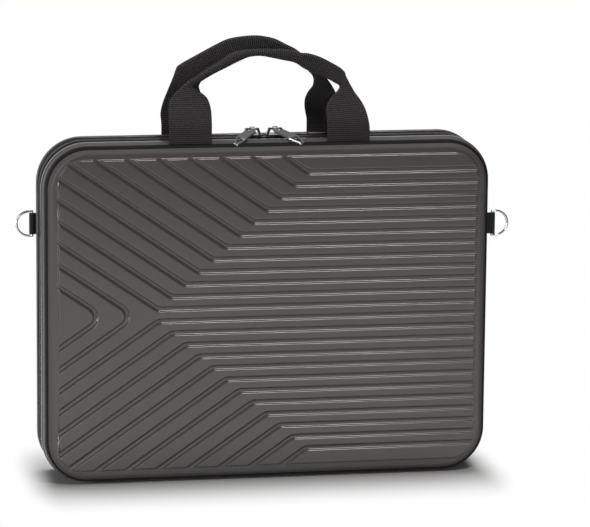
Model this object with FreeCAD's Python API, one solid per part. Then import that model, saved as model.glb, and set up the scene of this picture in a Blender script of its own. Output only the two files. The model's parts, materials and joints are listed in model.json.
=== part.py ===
"""Hard laptop case: two ribbed half shells, a zipper on three sides, two webbing handles, two D-rings.

The case stands upright. X runs along its width, Y from the front face to the back face, Z up.
The origin is on the ground under the middle of the case. The front half is modelled in full, and
the rear half is the same half turned half a turn about Z. A depth is a distance forward of the
mid-plane, and an inset is a distance inward from the crest of the rim, all in millimetres.
"""
import FreeCAD, Part
import math
import os
from FreeCAD import Vector

# Closed case, measured over the rims and the two ribbed faces
case_width = 400.0
case_height = 304.0
case_depth = 70.0
corner_radius = 40.0

# Clearances
joint_gap = 0.3
seat_gap = 0.1
overrun = 5.0

# Rim bead round each half
rim_to_face = 20.0
rim_width = 9.2
rim_thickness = 5.0
rim_profile_shares = [(0.00, 0.16), (0.11, 0.00), (0.43, 0.00), (0.60, 0.26), (0.82, 0.34), (1.00, 0.62)]

# Zipper
tape_inset = 1.5
tape_thickness = 1.0
tape_grip = 2.8
teeth_width = 3.0
teeth_height = 3.4
teeth_spread = 2.0
zipper_margin = 10.0
stop_length = 3.6

# Piping in the seam between rim and shell
seam_width = 2.3
piping_height = 0.7

# Ribbed shell
shell_inset = 3.7
shell_wall = 1.8
skirt_wall = 2.0
edge_round = 6.2
field_rise = 2.0
field_margin = 9.4
field_wall_run = 0.9
field_corner = 20.0

# Pattern of grooves between the raised bands
row_count = 24
row_pitch = 10.82
chevron_count = 2
chevron_tip = 53.6
chevron_step = 27.75
groove_slope = 34.6
groove_floor = 2.4
groove_mouth = 5.2
bend_radius = 10.0
groove_reach_share = 1.5

# Foam and fabric inside
lining_thickness = 3.0
cushion_side_gap = 1.7
cushion_end_gap = 36.7
cushion_thickness = 5.0
pad_size = 38.0
pad_thickness = 12.0
strap_width = 30.0
strap_thickness = 1.5
strap_spacing = 110.0
fabric_setback = 1.5
patch_length = 70.0
patch_thickness = 1.2
pocket_height = 205.0
pocket_thickness = 1.5
elastic_height = 16.0
elastic_thickness = 3.0

# Webbing handles
webbing_width = 38.0
webbing_thickness = 2.0
handle_spacing = 140.0
handle_rise = 86.0
grip_thickness = 5.0
root_height = 13.0
lean_end_share = 0.78
# Places along each handle: across, up, width, thickness, as shares of half the spacing, the rise,
# the width of the webbing and the thickness of the grip
front_handle_shares = [
    (-0.99, 0.43, 1.00, 0.40), (-0.98, 0.54, 0.62, 0.60), (-0.90, 0.63, 0.36, 1.00),
    (-0.72, 0.70, 0.25, 1.60), (-0.44, 0.80, 0.22, 1.80), (-0.07, 0.915, 0.22, 1.80),
    (0.21, 0.925, 0.29, 1.50), (0.45, 0.87, 0.40, 1.20), (0.64, 0.805, 0.50, 1.00),
    (0.83, 0.73, 0.50, 1.00), (0.97, 0.65, 0.48, 1.00), (1.02, 0.55, 0.56, 0.70),
    (1.02, 0.45, 0.80, 0.50), (1.02, 0.38, 1.00, 0.40)]
rear_handle_shares = [
    (-0.98, 0.37, 1.00, 0.40), (-0.985, 0.50, 0.72, 0.50), (-0.95, 0.64, 0.52, 1.00),
    (-0.83, 0.73, 0.50, 1.00), (-0.62, 0.82, 0.50, 1.00), (-0.37, 0.93, 0.49, 1.00),
    (-0.12, 0.99, 0.44, 1.10), (0.13, 1.00, 0.37, 1.30), (0.36, 0.93, 0.33, 1.40),
    (0.55, 0.82, 0.33, 1.40), (0.71, 0.70, 0.36, 1.20), (0.80, 0.58, 0.40, 0.90),
    (0.84, 0.47, 0.66, 0.50), (0.89, 0.35, 1.00, 0.40)]

# Zipper sliders and their pulls
slider_place = 10.3
slider_length = 16.5
slider_width = 11.2
plate_thickness = 1.6
lip_thickness = 1.1
web_length = 5.0
crown_length = 15.6
crown_width = 3.2
crown_height = 5.6
crown_bar = 1.8
pull_neck = 4.4
pull_width = 9.0
pull_length = 18.0
pull_thickness = 2.0
pull_reach = 33.0
pull_skew = 36.0
pull_gap = 0.35
lock_width = 10.0
lock_length = 11.0
lock_bar = 2.0

# D-rings and their webbing tabs
ring_level = 225.5
ring_wire = 2.2
ring_height = 24.0
ring_reach = 15.0
ring_stand_off = 2.6
tab_thickness = 2.0
eye_wall = 1.4
pin_gap = 0.2

# Places worked out from the sizes above
rim_back = case_depth / 2 - rim_to_face
zipper_end = case_width / 2 - corner_radius - zipper_margin
seam_back = rim_back + rim_width
seam_front = seam_back + seam_width
seam_mid = (seam_back + seam_front) / 2
border_depth = case_depth / 2 - field_rise
skirt_inset = rim_thickness + seat_gap
room_inset = skirt_inset + skirt_wall
room_depth = border_depth - shell_wall
floor_depth = room_depth - seat_gap - lining_thickness
lining_inset = room_inset + seat_gap + lining_thickness
field_inset = shell_inset + field_margin
mid_height = case_height / 2
piping_top = rim_thickness - piping_height
root_base = case_height - piping_top + seat_gap
fabric_level = rim_back + fabric_setback
slider_top = case_height - tape_inset + (teeth_height - tape_thickness) / 2 + joint_gap
bar_level = slider_top + plate_thickness + crown_height - crown_bar / 2
sleeve_radius = crown_bar / 2 + joint_gap + (pull_thickness - joint_gap) / 2
tab_width = ring_height - 2 * ring_wire - 2 * joint_gap


def outline(inset, depth, radius=None):
    """Rounded rectangle round the case, inset from the rim's crest, at a depth before the mid-plane."""
    radius = corner_radius - inset if radius is None else radius
    across = case_width / 2 - inset - radius
    low = inset + radius
    high = case_height - inset - radius
    centres = [(across, high), (-across, high), (-across, low), (across, low)]
    edges = []
    for quarter, (x, z) in enumerate(centres):
        turns = [math.radians(90 * quarter + part) for part in (0, 45, 90)]
        arc = [Vector(x + radius * math.cos(a), -depth, z + radius * math.sin(a)) for a in turns]
        if edges:
            edges.append(Part.makeLine(edges[-1].valueAt(edges[-1].LastParameter), arc[0]))
        edges.append(Part.Arc(*arc).toShape())
    edges.append(Part.makeLine(edges[-1].valueAt(edges[-1].LastParameter), edges[0].valueAt(edges[0].FirstParameter)))
    return Part.Wire(edges)


def block(inset, depth_a, depth_b, radius=None):
    """Solid inside an outline, from one depth to another."""
    return Part.Face(outline(inset, depth_a, radius)).extrude(Vector(0, depth_a - depth_b, 0))


def frame_ring(outer, inner, depth_a, depth_b):
    """Ring between two insets, from one depth to another."""
    return block(outer, depth_a, depth_b).cut(block(inner, depth_a - overrun, depth_b + overrun))


def box(x0, x1, y0, y1, z0, z1):
    """Box between two corners."""
    return Part.makeBox(x1 - x0, y1 - y0, z1 - z0, Vector(x0, y0, z0))


def turned(shape):
    """The same piece on the other half of the case, half a turn about Z."""
    copy = shape.copy()
    copy.rotate(Vector(0, 0, 0), Vector(0, 0, 1), 180)
    return copy


def mirrored(shape):
    """The same piece on the other side of the middle of the width."""
    return shape.mirror(Vector(0, 0, 0), Vector(1, 0, 0))


def rim():
    """Rim bead: a crest beside the zipper, a shoulder towards the seam, and a slot for the tape."""
    wires = [outline(rim_thickness * down, rim_back + rim_width * along) for along, down in rim_profile_shares]
    bead = Part.makeLoft(wires, True, True)
    bore = block(rim_thickness, rim_back - overrun, seam_back + overrun)
    slot_top = tape_inset - seat_gap
    slot_floor = tape_inset + tape_thickness + seat_gap
    slot = frame_ring(slot_top, slot_floor, rim_back - overrun, rim_back + tape_grip + seat_gap)
    return bead.cut(bore).cut(slot)


def piping():
    """Cord of the seam, sunk between the rim and the shell."""
    return frame_ring(piping_top, rim_thickness, seam_back + seat_gap, seam_front - seat_gap)


def strip(points, half, depth):
    """Outline of a strip along three points of the front face, with its bend rounded."""
    start, corner, end = points
    first = (corner - start).normalize()
    second = (end - corner).normalize()
    side = 1 if first.x * second.z - first.z * second.x > 0 else -1
    turn = first.getAngle(second)
    normal_a = Vector(-first.z, 0, first.x)
    normal_b = Vector(-second.z, 0, second.x)
    cut_back = bend_radius * math.tan(turn / 2)
    bend_a = corner - first * cut_back
    bend_b = corner + second * cut_back
    centre = bend_a + normal_a * (side * bend_radius)
    outward = (corner - centre).normalize()

    def track(offset):
        middle = centre + outward * (bend_radius - side * offset)
        return [start + normal_a * offset, bend_a + normal_a * offset, middle,
                bend_b + normal_b * offset, end + normal_b * offset]

    shift = Vector(0, -depth, 0)
    left = [p + shift for p in track(half)]
    right = [p + shift for p in track(-half)]
    return Part.Wire([
        Part.makeLine(left[0], left[1]), Part.Arc(*left[1:4]).toShape(), Part.makeLine(left[3], left[4]),
        Part.makeLine(left[4], right[4]),
        Part.makeLine(right[4], right[3]), Part.Arc(*right[3:0:-1]).toShape(), Part.makeLine(right[1], right[0]),
        Part.makeLine(right[0], left[0])])


def groove_line(number, up):
    """Centre line of one groove: in from the left or the top edge, a bend, then out again."""
    rise = math.tan(math.radians(groove_slope))
    tip = chevron_tip - case_width / 2 + chevron_step * number
    left = field_inset - case_width / 2 - overrun
    right = -left
    top = mid_height - field_inset + overrun
    row = (number - chevron_count + 1 / 2) * row_pitch
    height = row if number >= chevron_count else 0
    bend = Vector(tip - height / rise, 0, mid_height + up * height)
    reach = min(bend.x - left, (top - height) / rise)
    start = bend + Vector(-reach, 0, up * reach * rise)
    if number >= chevron_count:
        return [start, bend, Vector(right, 0, bend.z)]
    return [start, bend, Vector(start.x, 0, 2 * mid_height - start.z)]


def groove(number, up):
    """One groove with sloping walls, from its floor to beyond the faces of the bands."""
    line = groove_line(number, up)
    mouth = groove_floor + (groove_mouth - groove_floor) * groove_reach_share
    floor = strip(line, groove_floor / 2, border_depth)
    opening = strip(line, mouth / 2, border_depth + field_rise * groove_reach_share)
    return Part.makeLoft([floor, opening], True, True)


def bands():
    """Raised bands of the face: one low pad, parted by the grooves."""
    foot = outline(field_inset, border_depth, field_corner)
    face = outline(field_inset + field_wall_run, case_depth / 2, field_corner - field_wall_run)
    pad = Part.makeLoft([foot, face], True, True)
    grooves = [groove(number, 1) for number in range(chevron_count + row_count // 2)]
    grooves += [groove(number, -1) for number in range(chevron_count, chevron_count + row_count // 2)]
    return pad.cut(grooves).Solids


def shell():
    """Ribbed half shell: rounded tray with a skirt that the rim sits on."""
    tray = block(shell_inset, seam_front, border_depth)
    front_edges = [e for e in tray.Edges if all(abs(v.Y + border_depth) < seat_gap for v in e.Vertexes)]
    tray = tray.makeFillet(edge_round, front_edges)
    skirt = block(skirt_inset, rim_back + seat_gap, seam_front + seat_gap)
    room = block(room_inset, rim_back - overrun, room_depth)
    return tray.fuse([skirt] + bands()).cut(room).removeSplitter()


def lining():
    """Foam tray with a fabric face, glued into the shell."""
    outer = block(room_inset + seat_gap, rim_back + seat_gap, room_depth - seat_gap)
    return outer.cut(block(lining_inset, rim_back - overrun, floor_depth))


def zipper_cut():
    """Stretch of the bottom edge that the zipper leaves to the fabric hinge."""
    return box(-zipper_end, zipper_end, -case_depth, case_depth, -overrun, corner_radius)


def tape():
    """Zipper tape of one half, from beside the teeth into the slot of the rim."""
    inner = tape_inset + tape_thickness
    start = teeth_spread / 2 + teeth_width + seat_gap
    return frame_ring(tape_inset, inner, start, rim_back + tape_grip).cut(zipper_cut())


def teeth():
    """Row of zipper teeth of one half, drawn as a plain strip."""
    top = tape_inset + (tape_thickness - teeth_height) / 2
    start = teeth_spread / 2
    row = frame_ring(top, top + teeth_height, start, start + teeth_width)
    end = zipper_end + stop_length + seat_gap
    return row.cut(box(-end, end, -case_depth, case_depth, -overrun, corner_radius))


def stop():
    """Metal stop on the left end of the row of teeth."""
    top = tape_inset + (tape_thickness - teeth_height) / 2
    start = teeth_spread / 2
    return box(-zipper_end - stop_length, -zipper_end, -start - teeth_width, -start, top, top + teeth_height)


def hinge_gusset():
    """Fabric strip that joins the two halves along the bottom edge."""
    half = zipper_end - seat_gap
    reach = rim_back + tape_grip
    return box(-half, half, -reach, reach, tape_inset, tape_inset + tape_thickness)


def handle_root(x):
    """Foot of one leg of the front handle, sewn into the seam on the piping."""
    half = webbing_width / 2
    thick = webbing_thickness / 2
    return box(x - half, x + half, -seam_mid - thick, -seam_mid + thick, root_base, root_base + root_height)


def handle_section(centre, across, half_width, half_thickness):
    """Rectangle across the webbing at one place of a handle."""
    wide = across * half_width
    thick = Vector(0, half_thickness, 0)
    corners = [centre - wide - thick, centre + wide - thick, centre + wide + thick, centre - wide + thick]
    return Part.makePolygon(corners + corners[:1])


def handle(shares):
    """Webbing handle before the mid-plane: two flat legs that fold together into the grip."""
    start = root_height + seat_gap
    first = (shares[0][0] * handle_spacing / 2, start, webbing_width, webbing_thickness)
    last = (shares[-1][0] * handle_spacing / 2, start, webbing_width, webbing_thickness)
    rows = [(x * handle_spacing / 2, z * handle_rise, w * webbing_width, t * grip_thickness) for x, z, w, t in shares]
    rows = [first] + rows + [last]
    lean_end = lean_end_share * handle_rise
    wires = []
    for number, (x, up, width, thickness) in enumerate(rows):
        before = rows[max(number - 1, 0)]
        after = rows[min(number + 1, len(rows) - 1)]
        path = Vector(after[0] - before[0], 0, after[1] - before[1]).normalize()
        if number in (0, 1):
            path = Vector(0, 0, 1)
        if number in (len(rows) - 2, len(rows) - 1):
            path = Vector(0, 0, -1)
        share = min(max((up - start) / (lean_end - start), 0), 1)
        ease = share * share * (3 - 2 * share)
        inner = seam_mid * (1 - ease) + (thickness / 2 + joint_gap) * ease
        centre = Vector(x, -inner, root_base + up)
        wires.append(handle_section(centre, Vector(path.z, 0, -path.x), width / 2, thickness / 2))
    return Part.makeLoft(wires, True, True)


def slider_body():
    """Slider at x 0: plates above and below the teeth, a web between the rows and a crown on top.

    The lips that hold it to the tape are on the front half's side only, so that the rear row
    leaves it sideways.
    """
    top = slider_top
    bottom = top - 2 * joint_gap - teeth_height
    half = slider_length / 2
    side = slider_width / 2
    web = teeth_spread / 2 - joint_gap
    upper = box(-half, half, -side, side, top, top + plate_thickness)
    lower = box(-half, half, -side, side, bottom - plate_thickness, bottom)
    corner_edges = [e for e in upper.Edges if abs(e.tangentAt(e.FirstParameter).z) > 1 / 2]
    upper = upper.makeFillet(side / 2, corner_edges)
    post = box(-web_length / 2, web_length / 2, -web, web, bottom, top)
    tape_top = case_height - tape_inset + joint_gap
    tape_bottom = case_height - tape_inset - tape_thickness - joint_gap
    lip_end = half - side / 2
    upper_lip = box(-lip_end, lip_end, -side, -side + lip_thickness, tape_top, top)
    lower_lip = box(-lip_end, lip_end, -side, -side + lip_thickness, bottom, tape_bottom)
    return upper.fuse([lower, post, upper_lip, lower_lip, crown(top + plate_thickness)])


def crown(base):
    """Arch along the slider with a round bar on top that carries the pull."""
    half = crown_length / 2
    side = crown_width / 2
    top = bar_level + crown_bar / 2
    slope = crown_height - crown_bar
    leg = crown_bar
    profile = [(-half, base), (-half + slope / 2, top), (half - slope / 2, top), (half, base)]
    inner = [(half - leg, base), (half - leg - slope / 2, top - crown_bar),
             (-half + leg + slope / 2, top - crown_bar), (-half + leg, base)]
    points = [Vector(x, -side, z) for x, z in profile + inner]
    arch = Part.Face(Part.makePolygon(points + points[:1])).extrude(Vector(0, crown_width, 0))
    bar_half = half - leg - slope / 2
    waist = box(-bar_half, bar_half, -crown_width, crown_width, top - crown_bar - joint_gap, top + overrun)
    bar = Part.makeCylinder(crown_bar / 2, 2 * bar_half, Vector(-bar_half, 0, bar_level), Vector(1, 0, 0))
    return arch.cut(waist).fuse(bar)


def pull_plan():
    """Outline of the pull seen from above: neck, slanted grip pad and triangular lock loop."""
    skew = math.radians(pull_skew)
    ahead = Vector(-math.sin(skew), -math.cos(skew), 0)
    aside = Vector(-ahead.y, ahead.x, 0)
    start = Vector(0, -sleeve_radius - joint_gap, 0)
    neck = pull_neck / 2
    pad_start = start + ahead * pull_neck
    pad_end = pad_start + ahead * pull_length
    lock_end = pad_end + ahead * lock_length
    half = pull_width / 2
    pad = [pad_start + aside * half, pad_start - aside * half, pad_end - aside * half, pad_end + aside * half]
    lock = [pad_end + aside * lock_width / 2 - ahead * lock_bar, pad_end - aside * lock_width / 2 - ahead * lock_bar,
            lock_end - aside * lock_bar, lock_end + aside * lock_bar]
    hole = [pad_end + aside * (lock_width / 2 - lock_bar), pad_end - aside * (lock_width / 2 - lock_bar),
            lock_end - ahead * lock_bar - aside * lock_bar / 4, lock_end - ahead * lock_bar + aside * lock_bar / 4]
    stem = [Vector(-neck, 0, 0), Vector(neck, 0, 0), Vector(neck, -2 * pull_neck, 0), Vector(-neck, -2 * pull_neck, 0)]
    prisms = []
    for points in (pad, lock, stem, hole):
        low = [p - Vector(0, 0, pull_reach) for p in points]
        prisms.append(Part.Face(Part.makePolygon(low + low[:1])).extrude(Vector(0, 0, 2 * pull_reach)))
    return prisms[0].fuse(prisms[1:3]).cut(prisms[3])


def pull_body():
    """Pull at x 0: a sleeve on the crown's bar, and a plate that drops over the rim's crest, bends there
    and passes just above the rounded shoulder of the shell."""
    half = pull_thickness / 2
    knee = rim_back + rim_width / 2
    drop = bar_level - case_height - half - pull_gap
    shoulder_across = border_depth - edge_round - knee
    shoulder_down = bar_level - drop - (case_height - shell_inset - edge_round)
    bearing = math.atan2(shoulder_down, shoulder_across)
    clear = math.asin((edge_round + half + pull_gap) / math.hypot(shoulder_across, shoulder_down))
    length = pull_reach + overrun
    line = [(0, 0), (-knee, -drop), (-length, -drop - (length - knee) * math.tan(bearing - clear))]
    side = [(y, z + half) for y, z in line] + [(y, z - half) for y, z in reversed(line)]
    reach = pull_reach + pull_width
    points = [Vector(-reach, y, z) for y, z in side]
    slab = Part.Face(Part.makePolygon(points + points[:1])).extrude(Vector(2 * reach, 0, 0))
    plate = pull_plan().common(slab)
    sleeve = Part.makeCylinder(sleeve_radius, pull_neck, Vector(-pull_neck / 2, 0, 0), Vector(1, 0, 0))
    bore = Part.makeCylinder(crown_bar / 2 + pin_gap, 2 * pull_neck, Vector(-pull_neck, 0, 0), Vector(1, 0, 0))
    body = plate.fuse(sleeve).cut(bore)
    body.translate(Vector(0, 0, bar_level))
    return body


def placed(shape, x):
    """Copy of a piece moved along X."""
    copy = shape.copy()
    copy.translate(Vector(x, 0, 0))
    return copy


def ring_pin():
    """Place of the axis of the right ring's bar."""
    return Vector(case_width / 2 + ring_stand_off, -seam_mid, ring_level)


def ring_tab():
    """Webbing tab of the right D-ring, sewn into the seam and folded round the ring's bar."""
    pin = ring_pin()
    half = tab_width / 2
    thick = tab_thickness / 2
    eye = ring_wire / 2 + pin_gap + eye_wall
    base = pin - Vector(0, 0, half)
    start = case_width / 2 - piping_top + seat_gap
    tongue = box(start, pin.x, pin.y - thick, pin.y + thick, pin.z - half, pin.z + half)
    barrel = Part.makeCylinder(eye, tab_width, base)
    bore = Part.makeCylinder(ring_wire / 2 + pin_gap, 2 * tab_width, pin - Vector(0, 0, tab_width))
    return tongue.fuse(barrel).cut(bore)


def ring():
    """Right D-ring: a straight bar through the tab, two short arms and a half circle of wire."""
    pin = ring_pin()
    wire = ring_wire / 2
    bow = ring_height / 2 - wire
    arm = ring_reach - wire - bow
    up = Vector(0, 0, bow)
    out = Vector(arm, 0, 0)
    top = pin + up
    bottom = pin - up
    path = Part.Wire([
        Part.makeLine(top, top + out),
        Part.Arc(top + out, pin + out + Vector(bow, 0, 0), bottom + out).toShape(),
        Part.makeLine(bottom + out, bottom)])
    section = Part.Wire(Part.makeCircle(wire, top, Vector(1, 0, 0)))
    bow_solid = path.makePipeShell([section], True, False)
    bar = Part.makeCylinder(wire, 2 * bow, bottom)
    knuckles = [Part.makeSphere(wire, end) for end in (top, bottom)]
    return bow_solid.fuse([bar] + knuckles)


def cushion():
    """Foam cushion on the floor of the rear lining, under the computer."""
    gap = lining_inset + seat_gap
    half = case_width / 2 - gap - pad_size - cushion_side_gap
    low = gap + cushion_end_gap
    return box(-half, half, floor_depth - seat_gap - cushion_thickness, floor_depth - seat_gap, low, case_height - low)


def corner_pad(x_side, z_side):
    """Foam block in one corner of the rear lining, cut to the rounded corner."""
    gap = lining_inset + seat_gap
    x = x_side * (case_width / 2 - gap)
    z = mid_height + z_side * (mid_height - gap)
    inner_x = x - x_side * pad_size
    inner_z = z - z_side * pad_size
    cube = box(min(x, inner_x), max(x, inner_x), floor_depth - seat_gap - pad_thickness, floor_depth - seat_gap,
               min(z, inner_z), max(z, inner_z))
    return cube.common(turned(block(gap, 0, case_depth)))


def laptop_strap(z):
    """Retaining strap across the rear half, from one wall of the lining to the other."""
    half = case_width / 2 - lining_inset - seat_gap
    return box(-half, half, fabric_level, fabric_level + strap_thickness, z - strap_width / 2, z + strap_width / 2)


def strap_patch(z):
    """Hook-and-loop closure on the middle of a strap."""
    side = fabric_level - seat_gap
    low = z - strap_width / 2 + patch_thickness
    return box(-patch_length / 2, patch_length / 2, side - patch_thickness, side, low,
               low + strap_width - 2 * patch_thickness)


def pocket():
    """Fabric front of the pocket in the lid, sewn to the walls of the front lining."""
    gap = lining_inset + seat_gap
    outer = block(gap, fabric_level + seat_gap, fabric_level + seat_gap + pocket_thickness)
    return outer.common(box(-case_width, case_width, -case_depth, 0, 0, pocket_height))


def pocket_elastic():
    """Elastic binding on the upper edge of the pocket."""
    gap = lining_inset + seat_gap
    half = case_width / 2 - gap
    middle = fabric_level + seat_gap + pocket_thickness / 2
    low = pocket_height + seat_gap
    return box(-half, half, -middle - elastic_thickness / 2, -middle + elastic_thickness / 2, low, low + elastic_height)


def build():
    """All sub-parts by name."""
    parts = {}
    halves = {
        "shell": shell(), "rim": rim(), "piping": piping(), "lining": lining(),
        "zipper_tape": tape(), "zipper_teeth": teeth()}
    for name, shape in halves.items():
        parts["front_" + name] = shape
        parts["rear_" + name] = turned(shape)
    parts["hinge_gusset"] = hinge_gusset()
    parts["front_zipper_stop_left"] = stop()
    parts["front_zipper_stop_right"] = mirrored(stop())
    parts["rear_zipper_stop_left"] = turned(mirrored(stop()))
    parts["rear_zipper_stop_right"] = turned(stop())
    rear_shares = [(-x, z, w, t) for x, z, w, t in reversed(rear_handle_shares)]
    half_spacing = handle_spacing / 2
    parts["handle_front"] = handle(front_handle_shares)
    parts["front_handle_root_left"] = handle_root(front_handle_shares[0][0] * half_spacing)
    parts["front_handle_root_right"] = handle_root(front_handle_shares[-1][0] * half_spacing)
    parts["handle_rear"] = turned(handle(rear_shares))
    parts["rear_handle_root_left"] = turned(handle_root(rear_shares[-1][0] * half_spacing))
    parts["rear_handle_root_right"] = turned(handle_root(rear_shares[0][0] * half_spacing))
    parts["slider_left"] = placed(slider_body(), -slider_place)
    parts["slider_right"] = placed(slider_body(), slider_place)
    parts["pull_left"] = placed(pull_body(), -slider_place)
    parts["pull_right"] = placed(mirrored(pull_body()), slider_place)
    parts["ring_tab_right"] = ring_tab()
    parts["ring_right"] = ring()
    parts["ring_tab_left"] = turned(ring_tab())
    parts["ring_left"] = turned(ring())
    parts["laptop_cushion"] = cushion()
    for z_name, z_side in (("lower", -1), ("upper", 1)):
        for x_name, x_side in (("left", -1), ("right", 1)):
            parts["corner_pad_%s_%s" % (z_name, x_name)] = corner_pad(x_side, z_side)
        z = mid_height + z_side * strap_spacing / 2
        parts["laptop_strap_" + z_name] = laptop_strap(z)
        parts["strap_patch_" + z_name] = strap_patch(z)
    parts["lid_pocket"] = pocket()
    parts["pocket_elastic"] = pocket_elastic()
    return parts


os.makedirs("parts", exist_ok=True)
for name, shape in build().items():
    shape.exportStep("parts/%s.step" % name)
    box_of = shape.BoundBox
    print("%-26s solids %d valid %s volume %.1f  x %.1f..%.1f y %.1f..%.1f z %.1f..%.1f" % (
        name, len(shape.Solids), shape.isValid(), shape.Volume, box_of.XMin, box_of.XMax, box_of.YMin,
        box_of.YMax, box_of.ZMin, box_of.ZMax))
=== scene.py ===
# %% [markdown]
# # A hard laptop case, dressed for its portrait
#
# The case is two ribbed half shells of satin plastic. A zipper joins them on three sides, webbing
# handles fold together on top, and a D-ring sits at each end. The construction comes from a packed
# frame that stays as it is. This script adds what the eye wants next: soft edges, woven cloth,
# real zipper teeth, foam linings, a floor and light. Lengths are in metres, and a name that ends
# in mm holds millimetres.

# %% Load the frame
import json
import math
import bmesh
import bpy
from mathutils import Matrix, Vector


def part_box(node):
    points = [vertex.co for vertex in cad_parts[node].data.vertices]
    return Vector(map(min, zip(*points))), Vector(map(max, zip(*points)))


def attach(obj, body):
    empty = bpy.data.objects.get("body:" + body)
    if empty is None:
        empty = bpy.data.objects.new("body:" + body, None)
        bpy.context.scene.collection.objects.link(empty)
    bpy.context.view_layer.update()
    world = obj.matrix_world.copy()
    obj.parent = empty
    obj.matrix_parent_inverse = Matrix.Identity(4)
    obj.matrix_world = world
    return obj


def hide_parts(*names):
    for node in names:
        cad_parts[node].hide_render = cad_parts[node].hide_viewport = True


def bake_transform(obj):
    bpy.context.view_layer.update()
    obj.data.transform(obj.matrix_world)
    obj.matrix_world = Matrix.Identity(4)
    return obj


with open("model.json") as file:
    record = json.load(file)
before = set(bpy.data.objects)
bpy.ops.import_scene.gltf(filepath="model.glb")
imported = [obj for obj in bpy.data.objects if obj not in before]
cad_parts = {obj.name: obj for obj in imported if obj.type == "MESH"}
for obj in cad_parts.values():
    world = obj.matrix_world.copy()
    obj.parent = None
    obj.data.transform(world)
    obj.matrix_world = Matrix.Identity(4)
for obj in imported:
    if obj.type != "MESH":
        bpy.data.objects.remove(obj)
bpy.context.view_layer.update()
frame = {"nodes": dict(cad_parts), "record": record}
nodes = frame["nodes"]
mm = 0.001

# %% [markdown]
# ## The camera first
#
# The photograph was taken with a long lens from a few metres away, a little to the left and above.
# A camera can be aimed by eye or solved from known points. This one was solved from the seams and
# grooves, so its place and its three angles are plain numbers here.

# %% Camera at the photograph's angle
photo_width_px, focal_px, shift_px = 590, 3625, 0.6
sensor_mm = 36
camera_place = (-0.55498, -3.11437, 0.80712)
yaw, pitch, roll = 0.18529, -0.19288, 0.00934
camera_data = bpy.data.cameras.new("camera")
camera_data.sensor_width = sensor_mm
camera_data.lens = focal_px / photo_width_px * sensor_mm
camera_data.clip_end = 50
camera_data.shift_x = shift_px / photo_width_px
camera = bpy.data.objects.new("camera", camera_data)
bpy.context.scene.collection.objects.link(camera)
ahead = Vector((math.sin(yaw) * math.cos(pitch), math.cos(yaw) * math.cos(pitch), math.sin(pitch)))
turn = ahead.to_track_quat("-Z", "Y").to_matrix().to_4x4() @ Matrix.Rotation(roll, 4, "Z")
camera.matrix_world = Matrix.Translation(camera_place) @ turn
bpy.context.scene.camera = camera
print("camera", [round(v, 3) for v in camera.location], "lens", round(camera_data.lens, 1))

# %% [markdown]
# ## Light, floor and background
#
# A product photograph lights dark plastic with large soft boxes, so that its edges draw pale
# lines. One box hangs over the case and a little behind it, which throws a short soft shadow to
# the front. A smaller one above the camera draws the lines along the grooves. A narrow one at the
# left puts a glint on their tips, and a weak one low in front fills the rest.
#
# The background is white to the camera alone: the world and the floor ask the Light Path node who
# is looking, so no extra light reaches the case. Reflections see a white backdrop low behind the
# case, a dim room in front of it, and a black card at the right that keeps the end of the case
# dark.

# %% Soft boxes
def soft_box(name, place, target, width, height, power, colour=(1.0, 1.0, 1.0)):
    """Rectangular area light that faces a point."""
    data = bpy.data.lights.new(name, "AREA")
    data.shape = "RECTANGLE"
    data.size, data.size_y, data.energy, data.color = width, height, power, colour
    box = bpy.data.objects.new(name, data)
    turn = (Vector(target) - Vector(place)).to_track_quat("-Z", "Y").to_matrix().to_4x4()
    box.matrix_world = Matrix.Translation(place) @ turn
    bpy.context.scene.collection.objects.link(box)
    return box


over = soft_box("box_over", (0.0, 0.34, 1.9), (0, 0.05, 0.1), 1.8, 0.9, 60)
over.visible_glossy = False
soft_box("box_key", (0.42, -1.25, 2.1), (0, 0, 0.15), 0.65, 0.42, 30, (1.0, 0.97, 0.93))
soft_box("box_left", (-1.9, -0.8, 0.3), (0, 0, 0.15), 0.16, 0.6, 24)
soft_box("box_front", (-1.2, -3.0, 0.7), (0, 0, 0.05), 1.2, 0.8, 20)
print("four soft boxes")

# %% [markdown]
# Nodes are easiest to read when each one is a single call. The helper below adds one node, sets
# its options, and fills its inputs with either a value or another node's output.

# %% Node helpers
def add(tree, kind, inputs=None, **settings):
    """One shader node. Inputs maps a socket to a value or to another node's output."""
    made = tree.nodes.new("ShaderNode" + kind)
    for name, value in settings.items():
        setattr(made, name, value)
    for key, value in (inputs or {}).items():
        if isinstance(value, bpy.types.NodeSocket):
            tree.links.new(value, made.inputs[key])
        else:
            made.inputs[key].default_value = value
    return made


def calc(tree, operation, *values):
    """Output of a Math node."""
    return add(tree, "Math", dict(enumerate(values)), operation=operation).outputs[0]


def blend_colours(tree, factor, first, second):
    """Output of a colour mix."""
    inputs = {"Factor": factor, "A": first, "B": second}
    return add(tree, "Mix", inputs, data_type="RGBA").outputs["Result"]


def scaled(tree, colour, factor):
    """A colour made lighter or darker."""
    return add(tree, "VectorMath", {0: colour, 3: factor}, operation="SCALE").outputs["Vector"]


def smooth_range(tree, value, start, end, first=0.0, last=1.0):
    """Soft step from one value to another between two places."""
    inputs = {"Value": value, "From Min": start, "From Max": end, "To Min": first, "To Max": last}
    return add(tree, "MapRange", inputs, interpolation_type="SMOOTHSTEP").outputs["Result"]


def seen_directly(tree):
    """One where the camera or a clear piece looks, and zero elsewhere."""
    path = add(tree, "LightPath")
    return calc(tree, "MAXIMUM", path.outputs["Is Camera Ray"], path.outputs["Is Transmission Ray"])


print("node helpers ready")

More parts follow.
